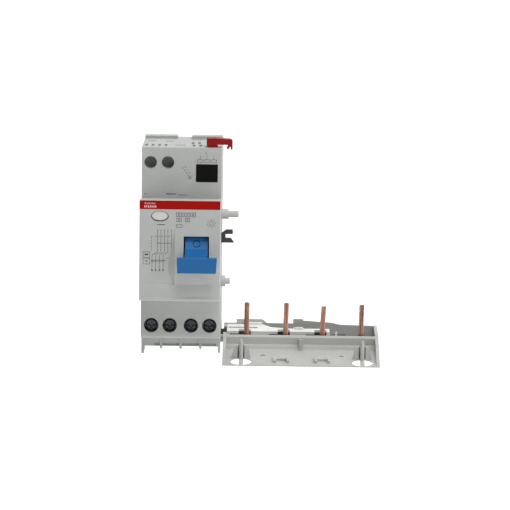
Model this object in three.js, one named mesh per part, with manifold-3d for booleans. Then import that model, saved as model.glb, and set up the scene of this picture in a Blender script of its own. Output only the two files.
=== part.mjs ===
// Residual current block for a four-pole circuit breaker: a two-module block that clips on a 35 mm
// rail, and a terminal base that slides up under the breaker and feeds four copper ends into it.
//
// Frame, in millimetres: the origin is the middle of the rail seat, the flat face that meets the rail.
// +Z is up, -Y is towards the person who reads the front, and +X points to the breaker's side.
import * as THREE from "three";
import { mergeVertices } from "three/addons/utils/BufferGeometryUtils.js";
import Module from "manifold-3d";

const wasm = await Module();
wasm.setup();

// ---- Driving dimensions ----------------------------------------------------------------------------
const MODULE = 17.5; // one pole's width on the rail
const HALF = MODULE; // the block is two modules wide
const BODY_TOP = 42.6;
const BODY_BOTTOM = -BODY_TOP;
const SHOULDER = -44; // front of the terminal shoulders
const NOSE = -63.5; // front of the nose
const NOSE_TOP = 21.7; // at the front; the top of the nose falls away towards the shoulder
const NOSE_TOP_REAR = 20;
const NOSE_BOTTOM = -22.5;
const REAR = 5.5; // the body reaches this far behind the rail seat
const RAIL_HALF = 17.8; // half of a 35 mm rail, with its play
const SKIRT_FRONT = -36; // the terminal skirt hangs below the body
const SKIRT_BOTTOM = -47.4;
const SKIRT_BACK = -24;
const WALL = 1.2;
const SEAM = HALF - 1; // the tub meets the side cover here
const INNER_LEFT = WALL - HALF;
const INNER_BACK = -1.4;
const PAST = 1; // how far a cutting tool runs past the face it opens

const CREASE = -14.8; // the nose steps forward a little below this height
const STEP = 0.3;
const STRIPE = { z0: 17.7, z1: 21.5, depth: 0.35 };
const PANEL = { edge: -2, slope: 0.7, rise: 2.4, top: 9.6, low: -8.5 };
const WINDOW = { x0: 1.75, x1: 12.8, z0: -9.4, z1: 6.05 };
const TEST = { x: -8.65, z: 14.65, a: 3.4, b: 1.95, gap: 0.45, sunk: 0.4, up: 0.2 };
const LOCK = { x0: 6.3, x1: 15.9, z0: 27.3, z1: 35.2, gap: 0.2 };
const WELL = { x: [-13.6, -6], z: 35.8, r: 2.75, back: -36 };
const RIM = { y: -10.5, z: 43.9, gap: [-2.8, 3.6] };

const AXLE = { y: -55.5, z: -1.7 }; // the toggle's axle
const DRUM_R = 8.6;
const DRUM_X = [2.4, 12.25];
const BAR_X = [-0.85, 16.35];
const FORK_AXLE = { y: -45.5, z: 8.5 };
const FORK = { y0: -31.5, y1: -28.5, bottom: -1.2, inner: 14.2 };
const LATCH = { x: 12, z: 44, y0: -43.9, y1: -38 };

const POLE_X = [-12.85, -4.7, 4.7, 12.85]; // the block's terminal screws
const TERMINAL_Z = -36.6;
const SCREW_HOLE = 3.25;
const SCREW_FACE = -41.7;
const PARTITIONS = [-MODULE / 2, 0, MODULE / 2];
const BAY_EDGES = [-12.6, ...PARTITIONS, SEAM];
const RIVETS = [
  [-6, 37],
  [-50, 17],
  [-57, -18],
  [-39, -26],
];
const PEGS = [
  { name: "joining_peg_upper", y: -30, z: 11.5, collarR: 2.25, collarEnd: 20.6, tipR: 1.5, tipEnd: 25.1 },
  { name: "joining_peg_lower", y: -30, z: -18.6, collarR: 2.5, collarEnd: 19.5, tipR: 1.4, tipEnd: 21.6 },
];
const PEG_BORE = 1.75;

const CORE = { x: 0, y: -21, z: -12, inner: 6.5, outer: 12.5, length: 9 };
const RELAY = { y: -50, z: -6 };
const CABLE_R = 1.35;
const CABLE_LANES = [-5.9, -11.9, -8.9, -2.9]; // y of each insulated lead where it leaves the block
const CABLE_END = SEAM + 0.1; // the block's cables hand over to the base's leads here
const LEAD_Z = -46.4;
const LEAD_HALL = { y0: -14.6, y1: INNER_BACK }; // opening for the leads, between these depths

const BASE = { x0: 18.6, x1: HALF + 4 * MODULE + 1, back: REAR, wall: 1.5, floor: -52.8, bottom: -54 };
const LIP = { y: -21, z: -44.6, bevel: 0.7, drop: 0.9 }; // top of the base's front wall
const FLANGE = { y: -46, z: -53.6, rootY: -22.4, root: -50.9, thick: 0.7 };
const REAR_TOP = -43.5; // the base's rear wall between its tabs
const DECK = { z: -43.9, front: -14.6, thick: 1, left: 20.2, right: 66.6, back: 3.9 };
const LOW_PLATE = { z0: -49.6, z1: -48.7, right: 86.4 };
const COPPER = { y: -17, x: [29.1, 46.7, 63.3, 80.6], r: 1.15, top: [-30.5, -30.5, -31.8, -31] };
const LEAD_LOW = [-50.9, -48.4, -48.4, -51.2]; // how far each lead dips inside the base
const BOSS = { x: [26.9, 80.8], y: -35.5, foot: 4.5, crown: 3, top: -46.8, pinTop: -43.9 };
const HOLE = { y: -40.3, a: 4.65, b: 5.3 }; // oval holes in the flange, in front of the bosses
const SADDLE_X = [44.8, 63];

// ---- Materials -------------------------------------------------------------------------------------
const paint = (color, roughness, metalness = 0) =>
  new THREE.MeshStandardMaterial({ color, roughness, metalness });
const GREY = paint(0xa9acab, 0.55);
const BASE_GREY = paint(0xb4b6b1, 0.5);
const DECK_GREY = paint(0xdedfda, 0.45);
const BLUE = paint(0x2a6cb4, 0.4);
const RED = paint(0xa81a14, 0.45);
const WHITE = paint(0xe4e5e0, 0.4);
const BLACK = paint(0x1c1c1b, 0.5);
const STEEL = paint(0x8d9093, 0.35, 1);
const DARK_STEEL = paint(0x3c3f41, 0.4, 1);
const COPPER_RED = paint(0xb0705a, 0.35, 1);
const BRASS = paint(0xb99a4f, 0.35, 1);
const BOARD_GREEN = paint(0x2c5d3a, 0.6);
const CORE_GREY = paint(0x4b4d50, 0.6);
const DISC_BLUE = paint(0x2f4f8f, 0.5);
const FILM_RED = paint(0x8c3a2c, 0.5);

// ---- Shape helpers ---------------------------------------------------------------------------------
// A closed three.js geometry as a solid that can be joined and cut.
function solid(geometry) {
  const plain = geometry.clone();
  plain.deleteAttribute("normal");
  plain.deleteAttribute("uv");
  const merged = mergeVertices(plain, 1e-4);
  const mesh = new wasm.Mesh({
    numProp: 3,
    vertProperties: merged.attributes.position.array,
    triVerts: new Uint32Array(merged.index.array),
  });
  return new wasm.Manifold(mesh);
}

const join = (first, ...rest) => rest.reduce((sum, next) => sum.add(next), first);
const cut = (first, ...rest) => rest.reduce((left, next) => left.subtract(next), first);

function box(x0, x1, y0, y1, z0, z1) {
  const made = new THREE.BoxGeometry(x1 - x0, y1 - y0, z1 - z0);
  return solid(made.translate((x0 + x1) / 2, (y0 + y1) / 2, (z0 + z1) / 2));
}

// A round bar or cone along "x", "y" or "z", from a with radius r0 to b with radius r1.
function rod(axis, a, b, [u, v], r0, r1 = r0, sides = 20) {
  const made = new THREE.CylinderGeometry(r1, r0, b - a, sides);
  const middle = (a + b) / 2;
  if (axis === "x") made.rotateZ(-Math.PI / 2).translate(middle, u, v);
  if (axis === "y") made.translate(u, middle, v);
  if (axis === "z") made.rotateX(Math.PI / 2).translate(u, v, middle);
  return solid(made);
}

// A closed outline through corners [u, v] or [u, v, r], where r rounds that corner.
function outline(corners) {
  const towards = ([u, v], [a, b], r) => {
    const length = Math.hypot(a - u, b - v);
    return [u + ((a - u) * r) / length, v + ((b - v) * r) / length];
  };
  const shape = new THREE.Shape();
  corners.forEach((corner, i) => {
    const [u, v, r = 0] = corner;
    const before = corners.at(i - 1);
    const after = corners[(i + 1) % corners.length];
    const start = towards(corner, before, r);
    if (i === 0) shape.moveTo(...start);
    else shape.lineTo(...start);
    if (r > 0) shape.quadraticCurveTo(u, v, ...towards(corner, after, r));
  });
  return shape;
}

// Outlines pushed along an axis: prismX takes (y, z) outlines, prismY (x, z) and prismZ (x, y).
const ALONG_X = new THREE.Matrix4().set(0, 0, 1, 0, 1, 0, 0, 0, 0, 1, 0, 0, 0, 0, 0, 1);
const ALONG_Y = new THREE.Matrix4().set(1, 0, 0, 0, 0, 0, -1, 0, 0, 1, 0, 0, 0, 0, 0, 1);
const push = (shape, depth) =>
  new THREE.ExtrudeGeometry(shape, { depth, bevelEnabled: false, curveSegments: 4 });
const prismX = (shape, x0, x1) => solid(push(shape, x1 - x0).applyMatrix4(ALONG_X).translate(x0, 0, 0));
const prismY = (shape, y0, y1) => solid(push(shape, y1 - y0).applyMatrix4(ALONG_Y).translate(0, y1, 0));
const prismZ = (shape, z0, z1) => solid(push(shape, z1 - z0).translate(0, 0, z0));

function polygon(u, v, r, sides) {
  const corners = [];
  for (let i = 0; i < sides; i++) {
    const angle = (2 * Math.PI * (i + 0.5)) / sides;
    corners.push([u + r * Math.cos(angle), v + r * Math.sin(angle)]);
  }
  return outline(corners);
}

function ring(inner, outer, sides) {
  const made = polygon(0, 0, outer, sides);
  made.holes.push(polygon(0, 0, inner, sides));
  return made;
}

// A round cable through the given points.
function cable(points, r, steps) {
  const knots = points.map((p) => new THREE.Vector3(...p));
  const path = new THREE.CatmullRomCurve3(knots, false, "centripetal");
  return solid(
    new THREE.ExtrudeGeometry(polygon(0, 0, r, 8), { steps, extrudePath: path, bevelEnabled: false }),
  );
}

const root = new THREE.Group();

// Adds one named mesh to a group, with its geometry about its own local origin.
function piece(name, shape, material, group = root, place = [0, 0, 0]) {
  const data = shape.getMesh();
  const geometry = new THREE.BufferGeometry();
  geometry.setAttribute("position", new THREE.BufferAttribute(new Float32Array(data.vertProperties), 3));
  geometry.setIndex(new THREE.BufferAttribute(new Uint32Array(data.triVerts), 1));
  const flat = geometry.toNonIndexed();
  flat.computeVertexNormals();
  const mesh = new THREE.Mesh(flat, material);
  mesh.name = name;
  mesh.position.set(...place);
  group.add(mesh);
}

// ---- Block outline, shared by the tub and the side cover -------------------------------------------
const GROOVE = { z0: 12.3, z1: 12.9, depth: 0.4 }; // splits the rail seat from the strips by the hooks
const SIDE_OUTLINE = outline([
  [0, -RAIL_HALF - 0.6],
  [0, -GROOVE.z1],
  [-GROOVE.depth, -GROOVE.z1],
  [-GROOVE.depth, -GROOVE.z0],
  [0, -GROOVE.z0],
  [0, GROOVE.z0],
  [-GROOVE.depth, GROOVE.z0],
  [-GROOVE.depth, GROOVE.z1],
  [0, GROOVE.z1],
  [0, RAIL_HALF],
  [1.4, RAIL_HALF],
  [1.4, RAIL_HALF - 1.8, 0.3],
  [REAR, RAIL_HALF - 3.2, 0.8],
  [REAR, 38, 1.5],
  [-3.5, RIM.z, 0.8],
  [RIM.y, RIM.z, 0.3],
  [RIM.y, BODY_TOP],
  [SHOULDER, BODY_TOP, 0.5],
  [SHOULDER, NOSE_TOP_REAR],
  [NOSE, NOSE_TOP, 0.25],
  [NOSE, CREASE],
  [NOSE - STEP, CREASE - STEP],
  [NOSE - STEP, NOSE_BOTTOM + 1.8],
  [NOSE - 0.75, NOSE_BOTTOM + 1.3, 0.2],
  [NOSE - 0.75, NOSE_BOTTOM + 0.6, 0.2],
  [NOSE + 0.4, NOSE_BOTTOM],
  [SHOULDER, NOSE_BOTTOM],
  [SHOULDER, BODY_BOTTOM, 2],
  [SKIRT_FRONT, BODY_BOTTOM],
  [SKIRT_FRONT, SKIRT_BOTTOM, 0.3],
  [REAR, SKIRT_BOTTOM, 1.5],
  [REAR, -RAIL_HALF - 0.6, 0.8],
]);

// The raised field round the toggle: it leans out of the nose down to just below the toggle and runs
// back in below that. Left of its edge it slopes back into the nose, so its foot runs out to the left.
function togglePanel(x0, x1) {
  const front = NOSE - PANEL.rise;
  const root = NOSE + 0.5;
  const foot = CREASE - STEP;
  const side = outline([
    [root, PANEL.top],
    [NOSE, PANEL.top],
    [front, PANEL.low, 3],
    [NOSE - STEP, foot],
    [root, foot],
  ]);
  const { edge, slope } = PANEL;
  if (x0 > edge) return prismX(side, x0, x1);
  const shear = new THREE.Matrix4().makeShear(-slope, 0, 0, 0, 0, 0).setPosition(0, slope * edge, 0);
  const run = PANEL.rise / slope;
  const flank = solid(push(side, run).applyMatrix4(ALONG_X).translate(edge - run, 0, 0).applyMatrix4(shear));
  const proud = box(edge - run, edge, front, root, foot, PANEL.top);
  return join(prismX(side, edge, x1), flank.intersect(proud));
}

// The test button's oval about a height, grown by a margin, between two depths.
function testOval(z, margin, y0, y1) {
  const oval = new THREE.EllipseCurve(TEST.x, z, TEST.a + margin, TEST.b + margin);
  const points = oval.getPoints(28).slice(0, -1);
  return prismY(new THREE.Shape(points), y0, y1);
}

const stripeRecess = box(
  -HALF - PAST,
  HALF + PAST,
  NOSE - PAST,
  NOSE + STRIPE.depth,
  STRIPE.z0,
  STRIPE.z1,
);

// ---- Housing tub -----------------------------------------------------------------------------------
function tubCavities() {
  return [
    box(INNER_LEFT, HALF, SHOULDER + 1.4, INNER_BACK, BODY_BOTTOM + WALL, BODY_TOP - 1.4),
    box(INNER_LEFT, HALF, SKIRT_FRONT + WALL, INNER_BACK, SKIRT_BOTTOM + 0.7, 0),
    box(INNER_LEFT, HALF, NOSE + 1.3, SHOULDER + 2, NOSE_BOTTOM + 1.3, NOSE_TOP_REAR - 1.3),
  ];
}

// Walls between the terminals, each with a fin that shows in front of and below the skirt.
function partition(x) {
  const half = 0.5;
  return join(
    box(x - half, x + half, SHOULDER + 1, SKIRT_FRONT + half, BODY_BOTTOM + half, -30),
    box(x - half, x + half, SKIRT_FRONT, -22, SKIRT_BOTTOM + 0.4, -30),
    box(x - half, x + half, SKIRT_FRONT - 0.5, -27, SKIRT_BOTTOM - 1, BODY_BOTTOM - half),
  );
}

// Where the latch's pin is held, behind the latch.
const lug = cut(
  box(LATCH.x - 1.2, LATCH.x + 1.4, LATCH.y1 + 0.4, LATCH.y1 + 2, BODY_TOP - 0.5, LATCH.z + 1.2),
  rod("y", LATCH.y1 - PAST, LATCH.y1 + 1.5, [LATCH.x, LATCH.z], 0.68, 0.68, 16),
);

// Vent slots in the top: one row on the left and a staggered group by the latch.
function vents() {
  const PITCH = 2.85;
  const HALF_WIDE = 0.62;
  const HALF_LONG = 3.3;
  const spots = [0, 1, 2, 3].map((i) => [-15.8 + PITCH * i, -36]);
  for (const i of [0, 1]) spots.push([4.5 + PITCH * i, -27.5], [5.2 + PITCH * i, -37]);
  return spots.map(([x, y]) =>
    box(x - HALF_WIDE, x + HALF_WIDE, y - HALF_LONG, y + HALF_LONG, BODY_TOP - 2, BODY_TOP + PAST),
  );
}

// Shallow pockets along the foot of the skirt's front wall, one for each bay between the fins.
function skirtPockets() {
  const z0 = SKIRT_BOTTOM + 0.45;
  const inset = 0.7;
  const deep = SKIRT_FRONT + WALL - 0.4;
  return BAY_EDGES.slice(1).map((edge, i) =>
    box(BAY_EDGES[i] + inset, edge - inset, SKIRT_FRONT - PAST, deep, z0, z0 + 1.1),
  );
}

const wireEntries = () =>
  POLE_X.map((x) =>
    box(x - 3.1, x + 3.1, SKIRT_FRONT + WALL + 0.5, SKIRT_BACK, SKIRT_BOTTOM - PAST, SKIRT_BOTTOM + 1.3),
  );

const clipChannel = join(
  box(-7, 7, -0.3, REAR + PAST, SKIRT_BOTTOM - PAST, -RAIL_HALF),
  box(-8, 8, 1, 2.8, SKIRT_BOTTOM - PAST, -RAIL_HALF),
);

const rivetHoles = (x0, x1) => RIVETS.map((at) => rod("x", x0, x1, at, 1.75, 1.75, 16));
const rivetSinks = (x0, x1) => RIVETS.map((at) => rod("x", x0, x1, at, 2.8, 2.8, 16));

function housingBody() {
  const shell = prismX(SIDE_OUTLINE, -HALF, SEAM).add(togglePanel(-HALF, SEAM));
  const leftLeg = box(-HALF, 1.1 - HALF, SKIRT_FRONT, SKIRT_BACK, -50.8, SKIRT_BOTTOM + 0.5);
  const whole = join(
    cut(shell, ...tubCavities()),
    ...PARTITIONS.map(partition),
    leftLeg,
    lug,
    ...WELL.x.map((x) => rod("y", SHOULDER + 1, WELL.back + 1.2, [x, WELL.z], WELL.r + 1)),
    ...RIVETS.map((at) => rod("x", INNER_LEFT - 0.5, SEAM, at, 3, 3, 16)),
  );
  return cut(
    whole,
    ...WELL.x.map((x) => rod("y", SHOULDER - PAST, WELL.back, [x, WELL.z], WELL.r, WELL.r, 24)),
    ...POLE_X.map((x) => rod("y", SHOULDER - PAST, -41, [x, TERMINAL_Z], SCREW_HOLE, SCREW_HOLE, 24)),
    ...wireEntries(),
    ...skirtPockets(),
    ...rivetHoles(-HALF - PAST, SEAM + PAST),
    ...rivetSinks(-HALF - PAST, 0.6 - HALF),
    ...vents(),
    clipChannel,
    stripeRecess,
    box(LOCK.x0, LOCK.x1, SHOULDER - PAST, SHOULDER + 2, LOCK.z0, LOCK.z1),
    testOval(TEST.z, TEST.gap, NOSE - PAST, NOSE + 2),
    box(WINDOW.x0, WINDOW.x1, NOSE - 3, NOSE + 2, WINDOW.z0, WINDOW.z1),
    box(...RIM.gap, RIM.y - 0.5, REAR + PAST, BODY_TOP, RIM.z + PAST),
    box(1, HALF, LEAD_HALL.y0, LEAD_HALL.y1, SKIRT_BOTTOM - PAST, SKIRT_BOTTOM + 3),
    box(13.9, HALF, -23, LEAD_HALL.y0 + PAST, SKIRT_BOTTOM - PAST, SKIRT_BOTTOM + 3),
  );
}

// ---- Side cover, with the openings that face the breaker -------------------------------------------
function sideCover() {
  const plate = join(
    prismX(SIDE_OUTLINE, SEAM, HALF),
    togglePanel(SEAM, HALF),
    box(SEAM, HALF, SKIRT_FRONT, SKIRT_BACK, -50.2, SKIRT_BOTTOM + 0.5),
  );
  const forkSlot = box(SEAM - PAST, HALF + PAST, FORK.y0 - 1.7, FORK.y1 + 1.7, -2, 9);
  const guideSlot = box(SEAM - PAST, HALF + PAST, -20.5, -16.5, SKIRT_BOTTOM - 4, -41.8);
  const leadSlot = box(SEAM - PAST, HALF + PAST, LEAD_HALL.y0, LEAD_HALL.y1, SKIRT_BOTTOM - 4, -40.5);
  return cut(
    plate,
    ...rivetHoles(SEAM - PAST, HALF + PAST),
    ...rivetSinks(HALF - 0.5, HALF + PAST),
    ...PEGS.map(({ y, z }) => rod("x", SEAM - PAST, HALF + PAST, [y, z], PEG_BORE, PEG_BORE, 16)),
    stripeRecess,
    forkSlot,
    guideSlot,
    leadSlot,
  );
}

piece("housing_body", housingBody(), GREY);
piece("side_cover", sideCover(), GREY);
const stripeSlack = 0.05;
piece(
  "front_stripe",
  box(
    -HALF,
    HALF,
    NOSE,
    NOSE + STRIPE.depth - stripeSlack,
    STRIPE.z0 + stripeSlack,
    STRIPE.z1 - stripeSlack,
  ),
  RED,
);

RIVETS.forEach(([y, z], i) => {
  const head = 2.6;
  const rivet = join(
    rod("x", 0.1 - HALF, HALF - 0.1, [0, 0], 1.6, 1.6, 16),
    rod("x", 0.05 - HALF, 0.5 - HALF, [0, 0], head, head, 16),
    rod("x", HALF - 0.45, HALF - 0.05, [0, 0], head, head, 16),
  );
  piece(`rivet_${i + 1}`, rivet, STEEL, root, [0, y, z]);
});

// Joining pegs: a root held behind the cover, a collar outside it and a thinner tip.
PEGS.forEach(({ name, y, z, collarR, collarEnd, tipR, tipEnd }) => {
  const peg = join(
    rod("x", SEAM - 1.4, SEAM - 0.1, [0, 0], 2.8, 2.8, 16),
    rod("x", SEAM - 0.5, HALF + 0.5, [0, 0], PEG_BORE - 0.15, PEG_BORE - 0.15, 16),
    rod("x", HALF + 0.1, collarEnd, [0, 0], collarR, collarR, 20),
    rod("x", collarEnd - 0.2, tipEnd - 0.3, [0, 0], tipR, tipR, 16),
    rod("x", tipEnd - 0.35, tipEnd, [0, 0], tipR, tipR - 0.3, 16),
  );
  piece(name, peg, GREY, root, [0, y, z]);
});

// ---- Latch on the top, which hooks over the breaker ------------------------------------------------
function latchLever() {
  const r = LATCH.z - BODY_TOP - 0.25; // rounded under the pin, so that it can swing on the ledge
  const top = 2.6;
  const grip = new THREE.Shape();
  grip.moveTo(3.7, -r);
  grip.lineTo(3.7, top);
  grip.lineTo(0.3 - r, top);
  grip.lineTo(-r, top - 0.3);
  grip.lineTo(-r, 0);
  grip.absarc(0, 0, r, Math.PI, 1.5 * Math.PI, false);
  const arm = outline([
    [3, -0.1],
    [3, top],
    [9.6, top - 0.35, 0.5],
    [10.2, top - 1],
    [10.2, -2.2],
    [9.5, -2.2],
    [9.3, -0.9],
    [8.3, -2.2],
    [7.6, -1.8],
    [8.3, -0.2, 0.3],
  ]);
  const thumbGroove = (x) => box(x, x + 0.45, LATCH.y0 - PAST, LATCH.y0 + 0.35, -r - PAST, top + PAST);
  return cut(
    join(prismY(grip, LATCH.y0, LATCH.y1), prismY(arm, LATCH.y0, LATCH.y0 + 4.2)),
    rod("y", LATCH.y0 + 0.7, LATCH.y1 + PAST, [0, 0], 0.68, 0.68, 16),
    ...[0.6, 1.5, 2.4].map(thumbGroove),
  );
}
const latchPlace = [LATCH.x, 0, LATCH.z];
piece("latch_lever", latchLever(), RED, root, latchPlace);
piece(
  "latch_pin",
  rod("y", LATCH.y0 + 0.9, LATCH.y1 + 1.3, [0, 0], 0.6, 0.6, 16),
  STEEL,
  root,
  latchPlace,
);

// ---- Front controls --------------------------------------------------------------------------------
function testButton() {
  const z = TEST.z + TEST.up; // the button sits a little high in its hole
  const stem = rod("y", NOSE + 2.5, NOSE + 7.5, [TEST.x, z], 1.2, 1.2, 12);
  return join(testOval(z, 0, NOSE + TEST.sunk, NOSE + 2.7), testOval(z, 0.9, NOSE + 1.7, NOSE + 2.7), stem);
}
piece("test_button", testButton(), WHITE);

function testContact() {
  const blade = NOSE + 9.3;
  return join(
    box(TEST.x - 2, TEST.x + 2, blade, blade + 0.4, 6, TEST.z + 2.4),
    box(TEST.x - 2, TEST.x + 2, blade, blade + 6, 6, 6.4),
  );
}
piece("test_contact_spring", testContact(), BRASS);

function lockButton() {
  const { x0, x1, z0, z1, gap } = LOCK;
  return join(
    box(x0 + gap, x1 - gap, SHOULDER - 0.2, SHOULDER + 6, z0 + gap, z1 - gap),
    box(x0 + 1, x1 - 1, SHOULDER + 1.7, SHOULDER + 6, z0 - 1, z1 + 1),
  );
}
piece("lock_button", lockButton(), BLACK);

// Toggle about its axle, hanging down as it does when off: a drum with a flat face and a ring mark, a
// neck that slopes out of it, and a wide bar at the end of the neck.
function toggleShape() {
  const [x0, x1] = DRUM_X;
  const faceTop = [-5.4, 6.7];
  const faceFoot = [-7.7, 1.9];
  const neckEnd = [-15.9, -0.3];
  const drum = rod("x", x0, x1, [0, 0], DRUM_R, DRUM_R, 36);
  const shaved = outline([
    faceTop,
    faceFoot,
    [-DRUM_R - 2, faceFoot[1]],
    [-DRUM_R - 2, DRUM_R + 1],
    [faceTop[0], DRUM_R + 1],
  ]);
  const neck = outline([[-4, 1.8], faceFoot, neckEnd, [-16.6, -0.6], [-16.2, -5.5], [-6, -4.5], [-4, -4]]);
  const bar = outline([neckEnd, [-17.9, -0.5, 0.4], [-17.4, -7.2, 0.5], [-15.4, -7, 0.4]]);
  const taper = outline([
    [BAR_X[0], 1],
    [BAR_X[1], 1],
    [BAR_X[1], -2],
    [BAR_X[1] - 0.4, -7.5, 0.6],
    [BAR_X[0] + 0.2, -7.5, 0.6],
    [BAR_X[0], -2],
  ]);
  const handle = prismX(bar, ...BAR_X).intersect(prismY(taper, -20, 0));
  const tilt = Math.atan2(faceTop[0] - faceFoot[0], faceTop[1] - faceFoot[1]);
  const centre = [(faceTop[0] + faceFoot[0]) / 2, (faceTop[1] + faceFoot[1]) / 2];
  const mark = push(ring(1.25, 1.8, 20), 0.8)
    .applyMatrix4(ALONG_Y)
    .translate(0, 0.2, 0)
    .rotateX(-tilt)
    .translate((x0 + x1) / 2, ...centre);
  const body = join(cut(drum, prismX(shaved, x0 - PAST, x1 + PAST)), prismX(neck, x0, x1), handle);
  return cut(body, solid(mark), rod("x", x0 - PAST, x1 + PAST, [0, 0], 1.25, 1.25, 24));
}

const axlePlace = [0, AXLE.y, AXLE.z];
piece("toggle", toggleShape(), BLUE, root, axlePlace);
piece("toggle_axle", rod("x", 0.2, 15.6, [0, 0], 1.2, 1.2, 24), STEEL, root, axlePlace);

function toggleSpring() {
  const TURNS = 3;
  const PER_TURN = 12;
  const coil = [];
  for (let i = 0; i <= TURNS * PER_TURN; i++) {
    const angle = (i / PER_TURN) * 2 * Math.PI;
    coil.push([13.1 + (0.7 * i) / PER_TURN, 2.3 * Math.cos(angle), 2.3 * Math.sin(angle)]);
  }
  return cable([...coil, [15.2, 6.5, 1]], 0.3, 60);
}
piece("toggle_spring", toggleSpring(), STEEL, root, axlePlace);

// Trip fork: a lever on its own axle, whose end passes the side cover and opens towards the breaker.
function tripFork() {
  const { y, z } = FORK_AXLE;
  const { y0, y1, bottom, inner } = FORK;
  const prongs = outline([
    [inner, bottom],
    [HALF + 5.6, bottom],
    [HALF + 4.3, bottom + 1.9, 0.3],
    [HALF + 1.9, bottom + 1.9, 0.3],
    [HALF + 1.8, bottom + 3.8, 0.3],
    [HALF + 5.1, bottom + 3.9],
    [HALF + 5.1, bottom + 5.65, 0.3],
    [HALF + 2.1, bottom + 5.65, 0.5],
    [HALF, bottom + 4],
    [inner, bottom + 4],
  ]);
  const arm = outline([
    [y - 1.5, z - 2.4],
    [y + 0.8, z - 2.9],
    [y1, bottom],
    [y1, bottom + 4],
    [y + 2.5, z + 2.2],
    [y - 2, z + 2],
  ]);
  const hub = rod("x", inner - 1.4, inner + 1.6, [y, z], 2.6, 2.6, 20);
  return cut(
    join(prismY(prongs, y0, y1), prismX(arm, inner, inner + 1.6), hub),
    rod("x", inner - 2, inner + 3, [y, z], 1.05, 1.05, 20),
  );
}
piece("trip_fork", tripFork(), BLACK);
piece("fork_axle", rod("x", 9.6, 16.3, [FORK_AXLE.y, FORK_AXLE.z], 1, 1, 20), STEEL);

// ---- Residual current sensing ----------------------------------------------------------------------
function winding() {
  const half = CORE.length / 2;
  const play = 0.2;
  return cut(
    prismY(ring(CORE.inner - 1, CORE.outer + 1, 32), -half - 1, half + 1),
    prismY(ring(CORE.inner - play, CORE.outer + play, 32), -half - play, half + play),
    box(-4, 4, -half - 2, half + 2, 0, 20),
  );
}
const corePlace = [CORE.x, CORE.y, CORE.z];
const core = prismY(ring(CORE.inner, CORE.outer, 32), -CORE.length / 2, CORE.length / 2);
piece("toroid_core", core, CORE_GREY, root, corePlace);
piece("toroid_winding", winding(), COPPER_RED, root, corePlace);

const relayBore = rod("x", -6, -2, [RELAY.y, RELAY.z], 1.3, 1.3, 16);
piece("trip_relay", cut(box(-14.6, -2.6, -60.5, -47, -13, 3), relayBore), DARK_STEEL);
piece("relay_plunger", rod("x", -5.7, 0.6, [RELAY.y, RELAY.z], 1, 1, 16), BRASS);

const BOARD_FACE = -14.5;
piece("circuit_board", box(BOARD_FACE - 1.6, BOARD_FACE, -31, -7.8, 6, 33.5), BOARD_GREEN);
piece("surge_varistor", rod("x", BOARD_FACE + 0.1, -11.4, [-25, 26], 4.2), DISC_BLUE);
piece("filter_capacitor", box(BOARD_FACE + 0.1, -8.4, -18, -10, 18, 30), FILM_RED);
piece("test_resistor", rod("z", 8.5, 15, [-13, -24], 1.3, 1.3, 14), BRASS);

// ---- Terminals: a screw, the cage it draws forward and a fixed bar for each pole -------------------
function terminalScrew() {
  const recess = join(
    box(-2.1, 2.1, SCREW_FACE - PAST, SCREW_FACE + 1.2, -0.45, 0.45),
    box(-0.45, 0.45, SCREW_FACE - PAST, SCREW_FACE + 1.2, -1.7, 1.7),
    rod("y", SCREW_FACE - PAST, SCREW_FACE + 1.4, [0, 0], 1.25, 0.9, 12),
  );
  const head = join(
    rod("y", SCREW_FACE, SCREW_FACE + 0.5, [0, 0], 2.1, 2.6, 24),
    rod("y", SCREW_FACE + 0.4, SCREW_FACE + 1.8, [0, 0], 2.6, 2.6, 24),
  );
  const shank = rod("y", SCREW_FACE + 1.6, -30.4, [0, 0], 1.8, 1.8, 16);
  return cut(join(head, shank), recess);
}
const terminalCage = () =>
  cut(
    box(-3.2, 3.2, -36.6, -23.4, -4, 4),
    box(-2.3, 2.3, -35.4, -24.6, -5, 5),
    rod("y", -38, -34, [0, 0], 2, 2, 16),
  );
POLE_X.forEach((x, i) => {
  const place = [x, 0, TERMINAL_Z];
  piece(`terminal_screw_${i + 1}`, terminalScrew(), DARK_STEEL, root, place);
  piece(`terminal_cage_${i + 1}`, terminalCage(), STEEL, root, place);
  piece(`terminal_bar_${i + 1}`, box(-2.1, 2.1, -29.9, -28.7, -6, 8.6), COPPER_RED, root, place);
});

// Insulated cable of each pole: up from its bar, back through the core, down, and out to the base.
POLE_X.forEach((x, i) => {
  const nearX = CORE.x + (x < 0 ? -1.6 : 1.6);
  const nearZ = CORE.z + (Math.abs(x) > MODULE / 2 ? 1.6 : -1.6);
  const lane = CABLE_LANES[i];
  const bend = 3;
  const points = [
    [x, -31.6, -27.4],
    [x * 0.92, -31.6, -22.5],
    [(x + nearX) / 2, -31, (nearZ - 20) / 2],
    [nearX, -27.5, nearZ],
    [nearX, CORE.y, nearZ],
    [nearX, lane - bend, nearZ],
    [nearX, lane, nearZ - bend],
    [nearX, lane, nearZ - 2 * bend],
    [nearX, lane, -35],
    [nearX + 1, lane, -39],
    [6.5, lane, LEAD_Z],
    [9, lane, LEAD_Z],
    [CABLE_END, lane, LEAD_Z],
  ];
  piece(`pole_cable_${i + 1}`, cable(points, CABLE_R, 26), BLACK);
});

// ---- Rail clip -------------------------------------------------------------------------------------
function railClip() {
  const bottom = SKIRT_BOTTOM - 5;
  const blade = box(-6.7, 6.7, 0.1, 4.6, bottom, -RAIL_HALF - 0.2);
  const rails = box(-7.7, 7.7, 1.3, 2.5, bottom + 7, -RAIL_HALF - 0.8);
  const hook = box(-6.7, 6.7, 1.5, 4.6, -RAIL_HALF - 0.4, 2 - RAIL_HALF);
  const driverSlot = box(-2.2, 2.2, -PAST, REAR, bottom + 1.4, bottom + 3.2);
  return cut(join(blade, rails, hook), driverSlot);
}
piece("din_clip", railClip(), BLACK);

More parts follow.
